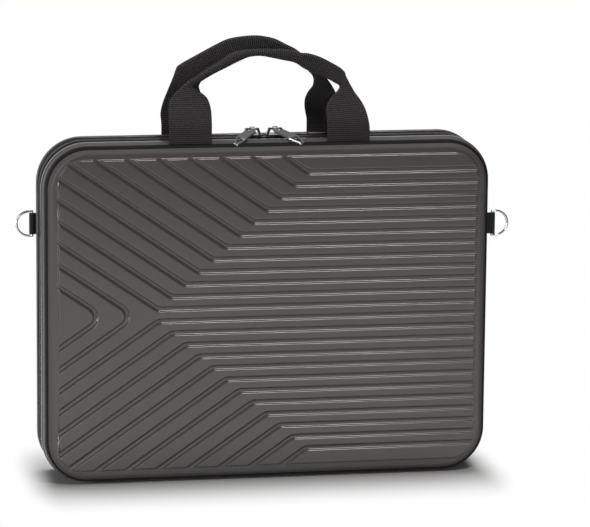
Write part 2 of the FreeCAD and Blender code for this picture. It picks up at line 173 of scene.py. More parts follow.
# %% White world
white, room_grey = (1, 1, 1, 1), (0.13, 0.13, 0.135, 1)
world = bpy.data.worlds.new("studio")
bpy.context.scene.world = world
world.use_nodes = True
tree = world.node_tree
towards = add(tree, "SeparateXYZ", {0: add(tree, "TexCoord").outputs["Generated"]}).outputs
behind = smooth_range(tree, towards["Y"], -0.1, 0.6)
low_down = smooth_range(tree, towards["Z"], 0.2, 0.6, 1.0, 0.0)
room = blend_colours(tree, calc(tree, "MULTIPLY", behind, low_down), room_grey, white)
sky_colour = blend_colours(tree, seen_directly(tree), room, white)
tree.links.new(sky_colour, tree.nodes["Background"].inputs["Color"])
bpy.context.scene.view_settings.view_transform = "Standard"
print("white world")

# %% [markdown]
# The photograph is a cut-out: its shadow hugs the case and ends in pure white. The floor copies
# that. To the camera it is darker grey than the light it throws back, and it turns to glowing white
# with the distance from the case's footprint. So next to the case it shows the real cast shadow,
# deepened by a painted shade that fades out round the footprint.

# %% Floor with painted shade that fades to white
def stage_piece(name, bm, material):
    """Object of the set, and not of the case."""
    mesh = bpy.data.meshes.new(name)
    bm.to_mesh(mesh)
    bm.free()
    mesh.materials.append(material)
    piece = bpy.data.objects.new(name, mesh)
    bpy.context.scene.collection.objects.link(piece)
    return piece


floor_radius = 1.6
# Painted shade: the camera sees the paper darker than the grey that lights the case.
floor_colour, floor_shade_colour_seen = (0.60, 0.60, 0.60, 1), (0.29, 0.29, 0.29, 1)
fades = {"X": (0.188, 0.034), "Y": (0.025, 0.11)}  # start from the middle, and length
paper = bpy.data.materials.new("studio_paper")
paper.use_nodes = True
tree = paper.node_tree
tree.nodes.remove(tree.nodes["Principled BSDF"])
direct = seen_directly(tree)
paper_colour = blend_colours(tree, direct, floor_colour, floor_shade_colour_seen)
shade = add(tree, "BsdfDiffuse", {"Color": paper_colour})
spot = add(tree, "SeparateXYZ", {0: add(tree, "TexCoord").outputs["Object"]}).outputs
beyond = {}
for axis, (start, length) in fades.items():
    outside = calc(tree, "SUBTRACT", calc(tree, "ABSOLUTE", spot[axis]), start)
    beyond[axis] = calc(tree, "DIVIDE", calc(tree, "MAXIMUM", outside, 0.0), length)
outward = add(tree, "CombineXYZ", beyond).outputs["Vector"]
far_off = add(tree, "VectorMath", {0: outward}, operation="LENGTH").outputs["Value"]
# Painted shade: a grey halo round the case's footprint, which fades to glowing white further out.
shade_fade_to_white = calc(tree, "MULTIPLY", smooth_range(tree, far_off, 0.0, 1.0), direct)
glow = add(tree, "Emission").outputs["Emission"]
paper_mix = add(tree, "MixShader", {0: shade_fade_to_white, 1: shade.outputs["BSDF"], 2: glow})
tree.links.new(paper_mix.outputs["Shader"], tree.nodes["Material Output"].inputs["Surface"])

bm = bmesh.new()
bmesh.ops.create_circle(bm, cap_ends=True, segments=64, radius=floor_radius)
stage_piece("floor", bm, paper)
print("floor %.1f m across" % (2 * floor_radius))

# %% [markdown]
# A photographer keeps glossy plastic dark with a black card beside it. This one is there for
# reflections only: it throws no shadow and the camera doesn't see it.

# %% Black card, seen in reflections alone
card_black = bpy.data.materials.new("card_black")
card_black.use_nodes = True
card_inputs = card_black.node_tree.nodes["Principled BSDF"].inputs
card_inputs["Base Color"].default_value = (0.01, 0.01, 0.01, 1)
card_inputs["Specular IOR Level"].default_value = 0.0
bm = bmesh.new()
upright = Matrix.Translation((0.62, 0.45, 0.4)) @ Matrix.Rotation(math.pi / 2, 4, "Y")
bmesh.ops.create_grid(bm, x_segments=1, y_segments=1, size=0.5, matrix=upright)
card = stage_piece("black_card", bm, card_black)
card.visible_camera = card.visible_shadow = card.visible_diffuse = card.visible_transmission = False
print("black card at the right")

# %% [markdown]
# ## Effects that several finishes share
#
# Moulded plastic is never one flat colour. It has a fine grain, a slow change of tone and small
# patches that hands have polished. Woven cloth has ribs across it and yarns along it. Knitted
# cloth has a soft round mesh. Each effect is a node group with named inputs, built once, and every
# material places it with its own values.

# %% Group maker
def new_group(name, inputs, outputs):
    """Empty node group with named sockets: its tree, its inputs and its outputs."""
    tree = bpy.data.node_groups.new(name, "ShaderNodeTree")
    for label, value in inputs.items():
        kind = "Float" if isinstance(value, float) else "Color" if len(value) == 4 else "Vector"
        socket = tree.interface.new_socket(name=label, in_out="INPUT",
                                           socket_type="NodeSocket" + kind)
        socket.default_value = value
    for label in outputs:
        kind = "Color" if label == "Colour" else "Float"
        tree.interface.new_socket(name=label, in_out="OUTPUT", socket_type="NodeSocket" + kind)
    return tree, tree.nodes.new("NodeGroupInput").outputs, tree.nodes.new("NodeGroupOutput").inputs


def noise(tree, vector, scale, detail=2.0):
    """Value of a noise texture, from about 0.3 to 0.7."""
    inputs = {"Vector": vector, "Scale": scale, "Detail": detail}
    return add(tree, "TexNoise", inputs).outputs["Fac"]


def about_one(tree, value, middle, amount):
    """A value's distance from its middle, made into a factor round one."""
    return calc(tree, "MULTIPLY_ADD", calc(tree, "SUBTRACT", value, middle), amount, 1.0)


print("group maker ready")

# %% Moulded grain
tree, given, out = new_group(
    "moulded_grain",
    {"Vector": (0.0, 0.0, 0.0), "Colour": (0.1, 0.1, 0.1, 1.0), "Grain Scale": 1500.0,
     "Tone Change": 0.12, "Roughness": 0.4, "Polish": 0.08},
    ["Colour", "Roughness", "Height"])
slow = noise(tree, given["Vector"], 9.0, 4.0)
fine = noise(tree, given["Vector"], given["Grain Scale"])
rubbed = noise(tree, given["Vector"], 31.0, 5.0)
tone = about_one(tree, slow, 0.5, given["Tone Change"])
handled = calc(tree, "SUBTRACT", rubbed, 0.5)
rough = calc(tree, "MULTIPLY_ADD", handled, given["Polish"], given["Roughness"])
tree.links.new(scaled(tree, given["Colour"], tone), out["Colour"])
tree.links.new(rough, out["Roughness"])
tree.links.new(fine, out["Height"])
print("group", tree.name)

# %% Webbing weave
tree, given, out = new_group(
    "webbing_weave",
    {"UV": (0.0, 0.0, 0.0), "Colour": (0.03, 0.03, 0.03, 1.0), "Rib Pitch": 0.2, "Yarn Pitch": 0.16,
     "Contrast": 0.7},
    ["Colour", "Height"])
split = add(tree, "SeparateXYZ", {0: given["UV"]}).outputs
row = calc(tree, "DIVIDE", split["X"], given["Rib Pitch"])
half_step = calc(tree, "MULTIPLY", calc(tree, "FLOORED_MODULO", calc(tree, "FLOOR", row), 2.0), 0.5)
column = calc(tree, "ADD", calc(tree, "DIVIDE", split["Y"], given["Yarn Pitch"]), half_step)
rib, yarn = (calc(tree, "ABSOLUTE", calc(tree, "SINE", calc(tree, "MULTIPLY", count, math.pi)))
             for count in (row, column))
lift = calc(tree, "MULTIPLY", calc(tree, "POWER", rib, 0.6),
            calc(tree, "MULTIPLY_ADD", yarn, 0.45, 0.55))
fuzz = noise(tree, given["UV"], 60.0)
# Painted shade: the colour is darker between the ribs and yarns, where shade falls, with random fuzz
# as well.
rib_shade_and_fuzz = calc(tree, "MULTIPLY", lift, calc(tree, "ADD", fuzz, 0.5))
tone = about_one(tree, rib_shade_and_fuzz, 0.6, given["Contrast"])
tree.links.new(scaled(tree, given["Colour"], tone), out["Colour"])
tree.links.new(calc(tree, "ADD", lift, calc(tree, "MULTIPLY", fuzz, 0.2)), out["Height"])
print("group", tree.name)

# %% Knitted cloth
tree, given, out = new_group(
    "knitted_cloth",
    {"Vector": (0.0, 0.0, 0.0), "Colour": (0.08, 0.08, 0.09, 1.0), "Stitch": 900.0,
     "Contrast": 0.5},
    ["Colour", "Height"])
split = add(tree, "SeparateXYZ", {0: given["Vector"]}).outputs
waves = [calc(tree, "SINE", calc(tree, "MULTIPLY", split[axis], given["Stitch"])) for axis in "XYZ"]
summed = calc(tree, "ADD", calc(tree, "ADD", waves[0], waves[1]), waves[2])
loops = calc(tree, "MULTIPLY", calc(tree, "ABSOLUTE", summed), 0.4)
pile = noise(tree, given["Vector"], 700.0, 3.0)
# Painted shade: the colour is darker in the hollows between the knitted loops, with random pile as
# well.
loop_shade_and_pile = calc(tree, "ADD", calc(tree, "MULTIPLY", loops, 0.5), pile)
tone = about_one(tree, loop_shade_and_pile, 0.7, given["Contrast"])
tree.links.new(scaled(tree, given["Colour"], tone), out["Colour"])
tree.links.new(calc(tree, "ADD", loops, pile), out["Height"])
print("group", tree.name)

# %% [markdown]
# ## Finishes
#
# Each material is one Principled shader with one of the effects in front of it. What is the same
# all over, such as sheen or specular level, is set on the shader itself. What changes over the
# surface comes through the group: colour, roughness, and the height that a Bump node turns into
# light.

# %% Material maker
def finish(name, group, values, bump_mm, bump_strength=1.0, source="Object", **shader_values):
    """Material of one effect group on a Principled shader, which follows a texture coordinate."""
    material = bpy.data.materials.new(name)
    material.use_nodes = True
    tree = material.node_tree
    shader = tree.nodes["Principled BSDF"]
    effect = add(tree, "Group", node_tree=bpy.data.node_groups[group])
    where = add(tree, "TexCoord").outputs[source]
    tree.links.new(where, effect.inputs["UV" if source == "UV" else "Vector"])
    for key, value in values.items():
        effect.inputs[key].default_value = value
    bump = add(tree, "Bump", {"Height": effect.outputs["Height"], "Distance": bump_mm * mm,
                              "Strength": bump_strength})
    tree.links.new(effect.outputs["Colour"], shader.inputs["Base Color"])
    if "Roughness" in effect.outputs:
        tree.links.new(effect.outputs["Roughness"], shader.inputs["Roughness"])
    tree.links.new(bump.outputs["Normal"], shader.inputs["Normal"])
    for key, value in shader_values.items():
        shader.inputs[key.replace("_", " ")].default_value = value
    return material


def grey(value):
    """Neutral colour."""
    return (value, value, value, 1)


plastic_specular = 0.6
case_plastic = finish(
    "case_plastic", "moulded_grain",
    {"Colour": (0.044, 0.0387, 0.0394, 1), "Roughness": 0.17, "Polish": 0.05, "Tone Change": 0.15,
     "Grain Scale": 1800.0}, 0.01, 0.1, Specular_IOR_Level=plastic_specular)
rim_plastic = finish(
    "rim_plastic", "moulded_grain",
    {"Colour": (0.046, 0.042, 0.042, 1), "Roughness": 0.24, "Polish": 0.05, "Tone Change": 0.1,
     "Grain Scale": 1800.0}, 0.01, 0.1, Specular_IOR_Level=plastic_specular)
piping_rubber = finish(
    "piping_rubber", "moulded_grain",
    {"Colour": grey(0.005), "Roughness": 0.6, "Polish": 0.1, "Grain Scale": 2500.0},
    0.03, 0.5, Specular_IOR_Level=0.15)
coil_nylon = finish(
    "coil_nylon", "moulded_grain",
    {"Colour": grey(0.012), "Roughness": 0.42, "Polish": 0.1, "Grain Scale": 2500.0},
    0.01, 0.4, Specular_IOR_Level=0.4)
slider_enamel = finish(
    "slider_enamel", "moulded_grain",
    {"Colour": grey(0.13), "Roughness": 0.24, "Polish": 0.15, "Grain Scale": 2200.0,
     "Tone Change": 0.4},
    0.02, 0.5, Metallic=0.45)
slider_black = finish(
    "slider_black", "moulded_grain",
    {"Colour": grey(0.03), "Roughness": 0.25, "Polish": 0.1, "Grain Scale": 2200.0},
    0.02, 0.3, Metallic=0.3)
ring_chrome = finish(
    "ring_chrome", "moulded_grain",
    {"Colour": grey(0.62), "Roughness": 0.14, "Polish": 0.10, "Grain Scale": 600.0,
     "Tone Change": 0.1},
    0.005, 0.2, Metallic=1.0)
handle_webbing = finish(
    "handle_webbing", "webbing_weave",
    {"Colour": (0.021, 0.019, 0.0195, 1), "Rib Pitch": 0.18, "Yarn Pitch": 0.15, "Contrast": 1.5},
    0.8, 1.0, "UV", Roughness=0.7, Specular_IOR_Level=0.12)
strap_webbing = finish(
    "strap_webbing", "webbing_weave",
    {"Colour": grey(0.016), "Rib Pitch": 0.12, "Yarn Pitch": 0.10},
    0.25, 0.8, "UV", Roughness=0.8, Specular_IOR_Level=0.12)
tape_cloth = finish(
    "tape_cloth", "webbing_weave",
    {"Colour": grey(0.011), "Rib Pitch": 0.07, "Yarn Pitch": 0.09, "Contrast": 0.6},
    0.15, 0.8, "UV", Roughness=0.8, Specular_IOR_Level=0.12)
lining_knit = finish(
    "lining_knit", "knitted_cloth",
    {"Colour": (0.060, 0.060, 0.064, 1), "Stitch": 4200.0},
    0.15, 0.8, Roughness=0.9, Specular_IOR_Level=0.2, Sheen_Weight=0.15, Sheen_Roughness=0.5)
pocket_nylon = finish(
    "pocket_nylon", "knitted_cloth",
    {"Colour": (0.040, 0.040, 0.044, 1), "Stitch": 7000.0, "Contrast": 0.35},
    0.08, 0.7, Roughness=0.6, Specular_IOR_Level=0.3)
hook_pile = finish(
    "hook_pile", "knitted_cloth",
    {"Colour": grey(0.02), "Stitch": 2600.0, "Contrast": 0.9},
    0.4, 1.0, Roughness=0.95, Specular_IOR_Level=0.15)
print(len(bpy.data.materials), "materials")

# %% [markdown]
# The rolled edge of each shell is matt, and the face is polished. The shell's vertices carry a
# value named "matt", which roughens the plastic and dulls its shine where it is one.

# %% Matt edge of the shells
tree = case_plastic.node_tree
shader = tree.nodes["Principled BSDF"]
matt = add(tree, "Attribute", attribute_name="matt").outputs["Fac"]
polished = shader.inputs["Roughness"].links[0].from_socket
dulled = calc(tree, "MULTIPLY_ADD", matt, -0.4, plastic_specular)
tree.links.new(calc(tree, "MULTIPLY_ADD", matt, 0.5, polished), shader.inputs["Roughness"])
tree.links.new(dulled, shader.inputs["Specular IOR Level"])
print("matt edge on", case_plastic.name)

# %% [markdown]
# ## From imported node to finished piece
#
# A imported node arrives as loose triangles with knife-sharp edges. Real mouldings have small radii,
# and those radii are what catches the light. They could be faked with bump, but a real bevel also
# shapes the outline. So a node is copied, its triangles are joined, its flat faces are made whole
# again, and its edges are bevelled. The copy then stands for the node and rides on the same body.

# %% Copy, soften, finish
bodies = frame["record"]["behaviour"]["bodies"]
body_of_node = {node: body for body, members in bodies.items() for node in members}
many_verts = 40  # a face with more corners than this is split where it is concave
to_cm = 100


def merged(node):
    """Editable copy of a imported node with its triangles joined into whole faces."""
    bm = bmesh.new()
    bm.from_mesh(nodes[node].data)
    bmesh.ops.remove_doubles(bm, verts=bm.verts, dist=1e-6)
    bmesh.ops.dissolve_limit(bm, angle_limit=math.radians(1), verts=bm.verts, edges=bm.edges)
    bm.normal_update()
    bmesh.ops.connect_verts_concave(bm, faces=[f for f in bm.faces if len(f.verts) > many_verts])
    return bm


def soften(bm, width_mm, segments=2, choose=None, angle=25):
    """Bevels the edges that turn by more than an angle and that pass the choice."""
    sharp = [e for e in bm.edges if e.is_manifold and e.calc_face_angle(0) > math.radians(angle)
             and (choose is None or choose((e.verts[0].co + e.verts[1].co) / 2))]
    bmesh.ops.bevel(bm, geom=sharp, offset=width_mm * mm, offset_type="OFFSET", affect="EDGES",
                    segments=segments, profile=0.5, material=-1, clamp_overlap=False)


def lay_uv(bm, place):
    """UV map in centimetres from a function of the vertex."""
    layer = bm.loops.layers.uv.new("cloth")
    for face in bm.faces:
        for loop in face.loops:
            loop[layer].uv = place(loop.vert)


def flat_uv(vert):
    """UV of a piece that lies in the plane of the case, with its ribs across the case."""
    return vert.co.x * to_cm, vert.co.z * to_cm


def make_piece(name, bm, material, body=None, replaced=(), blend=None, weighted=True,
               angle=40):
    """Object of a finished mesh that rides on a body, or, given a blend, stays in place on none."""
    mesh = bpy.data.meshes.new(name)
    bm.to_mesh(mesh)
    bm.free()
    mesh.shade_smooth()
    mesh.set_sharp_from_angle(angle=math.radians(angle))
    mesh.materials.append(material)
    piece = bpy.data.objects.new(name, mesh)
    bpy.context.scene.collection.objects.link(piece)
    if weighted:
        modifier = piece.modifiers.new("weighted_normals", "WEIGHTED_NORMAL")
        modifier.keep_sharp = True
    if blend:
        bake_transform(piece)
    else:
        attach(piece, body)
    if replaced:
        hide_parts(*replaced)
    print("%-26s %6d faces" % (name, len(mesh.polygons)))
    return piece


def soft_copy(node, material, width_mm, segments=2, choose=None, angle=25, uv=None):
    """Finished copy of one node."""
    bm = merged(node)
    soften(bm, width_mm, segments, choose, angle)
    if uv:
        lay_uv(bm, uv)
    return make_piece(node + "_finished", bm, material, body_of_node[node], [node])


# %% [markdown]
# ## Half shells and rims
#
# The shell is pressed or moulded from one sheet, so the raised bands flow into the grooves with a
# small radius above and below, and each radius draws one pale line under the box above the camera.
# Only the edges of the face and the lip at the seam are bevelled, because the rounded border is
# already smooth.
#
# Where a groove runs out in a round corner of the face it leaves several corners within a
# millimetre. A bevel as wide as that would overrun them, so they are welded first.

# %% Outline of the case
half_width, case_height, corner = 0.200, 0.304, 0.040
run_top = half_width - corner
run_side = case_height - 2 * corner
middle = case_height / 2


def inset_of(point):
    """How far a point lies inside the case's outline."""
    x, z = abs(point.x) - run_top, abs(point.z - middle) - run_side / 2
    return corner - math.hypot(max(x, 0), max(z, 0)) - min(max(x, z), 0)


def outline(inset, steps=20):
    """Points of the case's outline, drawn in by an inset, clockwise from the upper right corner."""
    points, radius = [], corner - inset
    top, bottom = case_height - corner, corner
    centres = ((run_top, top), (run_top, bottom), (-run_top, bottom), (-run_top, top))
    for number, (x, z) in enumerate(centres):
        for step in range(steps + 1):
            angle = (number + step / steps) * math.pi / 2
            points.append((x + radius * math.sin(angle), z + radius * math.cos(angle)))
    return points


print("outline of", len(outline(0)), "points")

# %% Shells
# Distances from the mid-plane: just under the bands' face, just under the grooves' floor, and
# the seam.
face_mm, floor_mm, lip_mm = 34.8, 32.8, 26.5
rolled_mm, roll_fade_mm = 6.5, 3  # width of the matt edge, and of its change to polished
# Where the face's corners start: across, and up from the middle for the bevel and for the weld.
corner_across, bevel_corner_up, weld_corner_up = 0.165, 0.100, 0.105
# The weld leaves a border alone. Beside a wall with a long edge it joins only closer corners.
border_mm, long_edge_mm, near_wall_mm, near_mm = 12, 6, 0.7, 1.6
wall_turn = 0.4  # radians between the face and a groove's wall


def near_corner(point, up):
    """Whether a point is in one of the four corners of the face."""
    return abs(point.x) > corner_across and abs(point.z - middle) > up


def on_face_or_lip(point):
    """Edges of the face, without the grooves' floors in its corners, and the lip at the seam."""
    depth_mm = face_mm if near_corner(point, bevel_corner_up) else floor_mm
    return abs(point.y) > depth_mm * mm or abs(abs(point.y) - lip_mm * mm) < 0.2 * mm


def weld_crowded(bm):
    """Joins corners closer than the bevel's width to the neighbour with the longest edge."""
    crowded = [v for v in bm.verts if abs(v.co.y) > face_mm * mm
               and near_corner(v.co, weld_corner_up) and inset_of(v.co) > border_mm * mm]
    reach = {v: max((e.calc_length() for e in v.link_edges if e.calc_face_angle(0) > wall_turn),
                    default=0) for v in crowded}
    moves = {}
    for vert in crowded:
        walls = [f for f in vert.link_faces if abs(f.normal.y) < 0.99]
        on_long_wall = any(e.calc_length() > long_edge_mm * mm for f in walls for e in f.edges)
        limit = (near_wall_mm if on_long_wall else near_mm) * mm
        near = [v for v in crowded if reach[v] > reach[vert] and (v.co - vert.co).length < limit]
        if near:
            moves[vert] = max(near, key=reach.get)
    for vert in moves:
        while moves[vert] in moves:
            moves[vert] = moves[moves[vert]]
    bmesh.ops.weld_verts(bm, targetmap=moves)


for half in ("front", "rear"):
    bm = merged(half + "_shell")
    weld_crowded(bm)
    soften(bm, 0.7, 4, on_face_or_lip)
    matt = bm.verts.layers.float.new("matt")
    for vert in bm.verts:
        vert[matt] = 1 - min(max((inset_of(vert.co) / mm - rolled_mm) / roll_fade_mm, 0), 1)
    make_piece(half + "_shell_finished", bm, case_plastic, half + "_half",
               [half + "_shell"])

# %% Rims and piping
for half in ("front", "rear"):
    soft_copy(half + "_rim", rim_plastic, 0.3, 2, angle=12)

# Section of the cord: distance from the mid-plane and inset from the outline, in mm.
cord = [(24.3, 4.9), (23.5, 3.7), (23.5, 2.9), (24.1, 2.4), (25.2, 2.15), (26.6, 2.15), (28.4, 2.4),
        (29.6, 2.9), (30.3, 3.7), (30.2, 4.4), (26.4, 4.9)]
for half, facing in (("front", -1), ("rear", 1)):
    bm = bmesh.new()
    rows = [[bm.verts.new((x, facing * y * mm, z)) for x, z in outline(inset * mm)]
            for y, inset in cord]
    for first, second in zip(rows, rows[1:] + rows[:1]):
        for number in range(len(first)):
            after = (number + 1) % len(first)
            bm.faces.new((first[number], first[after], second[after], second[number]))
    bmesh.ops.recalc_face_normals(bm, faces=bm.faces[:])
    make_piece(half + "_cord", bm, piping_rubber, half + "_half",
               [half + "_piping"])

# %% [markdown]
# ## Zipper
#
# A coil zipper is a nylon thread wound into close loops and sewn to a woven tape. From outside
# each loop is a short rounded bar, and the bars of the two rows lie between each other like
# fingers. One bar is modelled with a few faces and stamped along the track: the straights and
# corners of the case's outline. The tape follows the same track, so its weave runs along it round
# every corner.

# %% The track round the case
def track(distance, inset):
    """Matrix at a distance clockwise from the top middle: X along the track, Y kept, Z outwards."""
    side, left = (1 if distance >= 0 else -1), abs(distance)
    radius, high = corner - inset, case_height - corner
    bend = radius * math.pi / 2
    past_bend = left - run_top - bend
    if left <= run_top:
        x, z, angle = left, case_height - inset, 0
    elif past_bend <= 0:
        angle = (left - run_top) / radius
        x, z = run_top + radius * math.sin(angle), high + radius * math.cos(angle)
    elif past_bend <= run_side:
        x, z, angle = half_width - inset, high - past_bend, math.pi / 2
    elif past_bend <= run_side + bend:
        angle = math.pi / 2 + (past_bend - run_side) / radius
        x, z = run_top + radius * math.sin(angle), corner + radius * math.cos(angle)
    else:
        x, z, angle = run_top - (past_bend - run_side - bend), inset, math.pi
    return Matrix.Translation((side * x, 0, z)) @ Matrix.Rotation(side * angle, 4, "Y")


def along_track(vert):
    """UV of a vertex: its distance along the track and its depth, in centimetres."""
    x, z, side = abs(vert.co.x), vert.co.z, 1 if vert.co.x >= 0 else -1
    if x <= run_top:
        far = x if z > case_height / 2 else 2 * run_top + run_side + math.pi * corner - x
    elif z > case_height - corner:
        far = run_top + corner * math.atan2(x - run_top, z - case_height + corner)
    elif z > corner:
        far = run_top + corner * math.pi / 2 + case_height - corner - z
    else:
        far = run_top + run_side + corner * (math.pi / 2 + math.atan2(corner - z, x - run_top))
    return side * far * to_cm, vert.co.y * to_cm


track_inset, half_hinge = 2.0 * mm, 153.9 * mm
track_end = run_top + run_side + (corner - track_inset) * math.pi + run_top - half_hinge
print("track from the top middle to the stop %.0f mm" % (track_end / mm))

# %% Coil of nylon
coil_pitch = 1.6 * mm
bar_width, bar_height, bar_lift, bar_round = 0.86 * mm, 2.4 * mm, 0.1 * mm, 0.34 * mm
bar_inner, bar_outer = 0.55 * mm, 3.9 * mm  # a bar's reach past the mid-plane, and back from it


def coil_bar():
    """One loop of the coil: a rounded bar across the track."""
    bm = bmesh.new()
    bar_size = (bar_width, bar_inner + bar_outer, bar_height)
    bmesh.ops.create_cube(bm, size=1, matrix=Matrix.Diagonal((*bar_size, 1)))
    bmesh.ops.translate(bm, verts=bm.verts, vec=(0, (bar_inner - bar_outer) / 2, bar_lift))
    bmesh.ops.bevel(bm, geom=bm.edges[:], offset=bar_round, affect="EDGES", segments=2, profile=0.5,
                    material=-1)
    mesh = bpy.data.meshes.new("coil_bar")
    bm.to_mesh(mesh)
    bm.free()
    return mesh


for half, facing in (("front", 1), ("rear", -1)):
    bar = coil_bar()
    bm = bmesh.new()
    count = int(2 * track_end / coil_pitch)
    for number in range(count):
        distance = (number - count / 2 + (0.5 if facing < 0 else 0)) * coil_pitch
        place = track(distance, track_inset) @ Matrix.Diagonal((facing, facing, 1, 1))
        bar.transform(place)
        bm.from_mesh(bar)
        bar.transform(place.inverted())
    bpy.data.meshes.remove(bar)
    make_piece(half + "_coil", bm, coil_nylon, half + "_half",
               [half + "_zipper_teeth"], weighted=False)

# %% Tape beside the coil, and the stops at its ends
for half in ("front", "rear"):
    soft_copy(half + "_zipper_tape", tape_cloth, 0.2, 2, uv=along_track)
    for side in ("left", "right"):
        soft_copy("%s_zipper_stop_%s" % (half, side), slider_enamel, 0.5, 3)

# %% Sliders and pulls
for side in ("left", "right"):
    soft_copy("slider_" + side, slider_black, 0.1, 2, angle=50)
    soft_copy("pull_" + side, slider_enamel, 0.3, 2)

# %% [markdown]
# ## Webbing handles
#
# Each handle is one length of 38 mm webbing. Its two ends are sewn flat into the seam, and between
# them the webbing is folded along its middle to make a narrower, thicker grip. A strap could be
# bent with a curve and a bevel shape, but its section changes all the way. So it is lofted: a ring
# of points is shaped at each station and bridged to the next. The slit between the two layers is
# part of the ring, and it opens as the webbing folds.

# %% Stations along a strap
def smooth_through(rows, parts):
    """Rows filled in with a curve that passes through each of them."""
    filled = []
    for number in range(len(rows) - 1):
        before, start = rows[max(number - 1, 0)], rows[number]
        end, after = rows[number + 1], rows[min(number + 2, len(rows) - 1)]
        for part in range(parts):
            t = part / parts
            filled.append([0.5 * (2 * b + (c - a) * t + (2 * a - 5 * b + 4 * c - d) * t * t
                                  + (3 * b - a - 3 * c + d) * t ** 3)
                           for a, b, c, d in zip(before, start, end, after)])
    return filled + [list(rows[-1])]


def webbing_ring(width, thickness, slit):
    """Points across the strap, anticlockwise: rounded edges, flat faces and a slit in one edge."""
    side = min(thickness, width) / 2
    flat = width / 2 - side
    gap = (0.04 + 0.3 * slit) * mm
    depth = 0.05 * mm + max(width - 3 * mm, 0) * slit
    arc = [math.radians(a) for a in (25, 50, 75)]
    right = [(flat + side * math.cos(a), thickness / 2 * math.sin(a)) for a in arc]
    left = [(-flat - side * math.cos(a), thickness / 2 * math.sin(a)) for a in reversed(arc)]
    top = [(flat * share, thickness / 2) for share in (1, 0.6, 0.2, -0.2, -0.6, -1)]
    upper = [(flat + side, gap)] + right + top + left + [(-flat - side, 0)]
    lower = [(x, -y) for x, y in reversed(upper[:-1])]
    return upper + lower + [(flat + side - depth, 0)]


print("ring of", len(webbing_ring(0.038, 0.002, 0)), "points")

# %% Loft of a strap
def webbing_loft(stations):
    """Lofted strap. A station holds its centre, way across, width, thickness and fold."""
    bm = bmesh.new()
    along, across = bm.verts.layers.float.new("along"), bm.verts.layers.float.new("across")
    distance, last, last_centre = 0.0, None, None
    for centre, sideways, width, thickness, fold in stations:
        shape = webbing_ring(width, thickness, fold)
        distance += (centre - last_centre).length if last_centre else 0
        ring = bmesh.ops.create_circle(bm, segments=len(shape), radius=1)["verts"]
        for vert, (x, y) in zip(ring, shape):
            vert.co = centre + sideways * x + Vector((0, -y, 0))
            vert[along], vert[across] = distance * to_cm, x * to_cm
        edges = list({e for v in ring for e in v.link_edges})
        if last:
            bmesh.ops.bridge_loops(bm, edges=last + edges)
        last, last_centre = edges, centre
    bmesh.ops.holes_fill(bm, edges=[e for e in bm.edges if e.is_boundary])
    bmesh.ops.recalc_face_normals(bm, faces=bm.faces)
    lay_uv(bm, lambda vert: (vert[along], vert[across]))
    return bm


print("loft ready")

# %% Shape of the two handles, read from the photograph's angle
# A row holds the outer edge across and up, the inner edge across and up, and the thickness in mm.
front_edges = [
    (-88.3, 0, -50.3, 0, 2), (-88.3, 13, -50.3, 13, 2), (-88.3, 23, -50.1, 22, 2),
    (-87.8, 31, -50.1, 30.5, 2), (-86.6, 37.3, -51.1, 36.7, 2.2), (-83.6, 42.7, -53.2, 41.5, 2.6),
    (-77.4, 48, -58.3, 45.7, 3.4), (-71.9, 52.7, -62.7, 48.6, 4.6), (-67.9, 56, -64.3, 50, 5.5),
    (-64, 57.9, -60.2, 52.1, 6.5), (-59.4, 60.6, -55.8, 55, 7.5), (-49.7, 67, -45.8, 60.6, 8.5),
    (-40.8, 72, -36.9, 64.9, 9), (-34.5, 76.4, -29.1, 68.8, 9), (-28, 80, -21.6, 72.3, 9),
    (-19.1, 81.6, -14.8, 75, 9), (-8.9, 82.3, -7.7, 75.9, 9), (-1.4, 82.5, -1.4, 75.6, 9),
    (5.8, 82.2, 4.5, 74.4, 8.5), (16.8, 81.7, 15.7, 71.9, 8), (27.1, 79.9, 23.9, 70.2, 7.5),
    (32.3, 78.1, 30.2, 67.6, 7), (38.8, 77.5, 36.1, 64.2, 6), (49.1, 74.3, 42.3, 60.6, 5.5),
    (59.4, 69.1, 50.2, 57.3, 5), (67.3, 64.5, 57.7, 53.7, 5), (71.3, 60.7, 63, 50.7, 5),
    (72.7, 56.4, 65.6, 49.3, 5), (76.6, 48.6, 65.8, 47.1, 4.5), (79.8, 42.8, 62.8, 43.9, 3.8),
    (83.7, 37.4, 58.2, 40.3, 3), (86.9, 31.2, 53.4, 34.3, 2.4), (89, 23.9, 51.9, 27.4, 2),
    (90.2, 16, 52.4, 18, 2), (90.4, 13, 52.4, 13, 2), (90.4, 0, 52.4, 0, 2)]
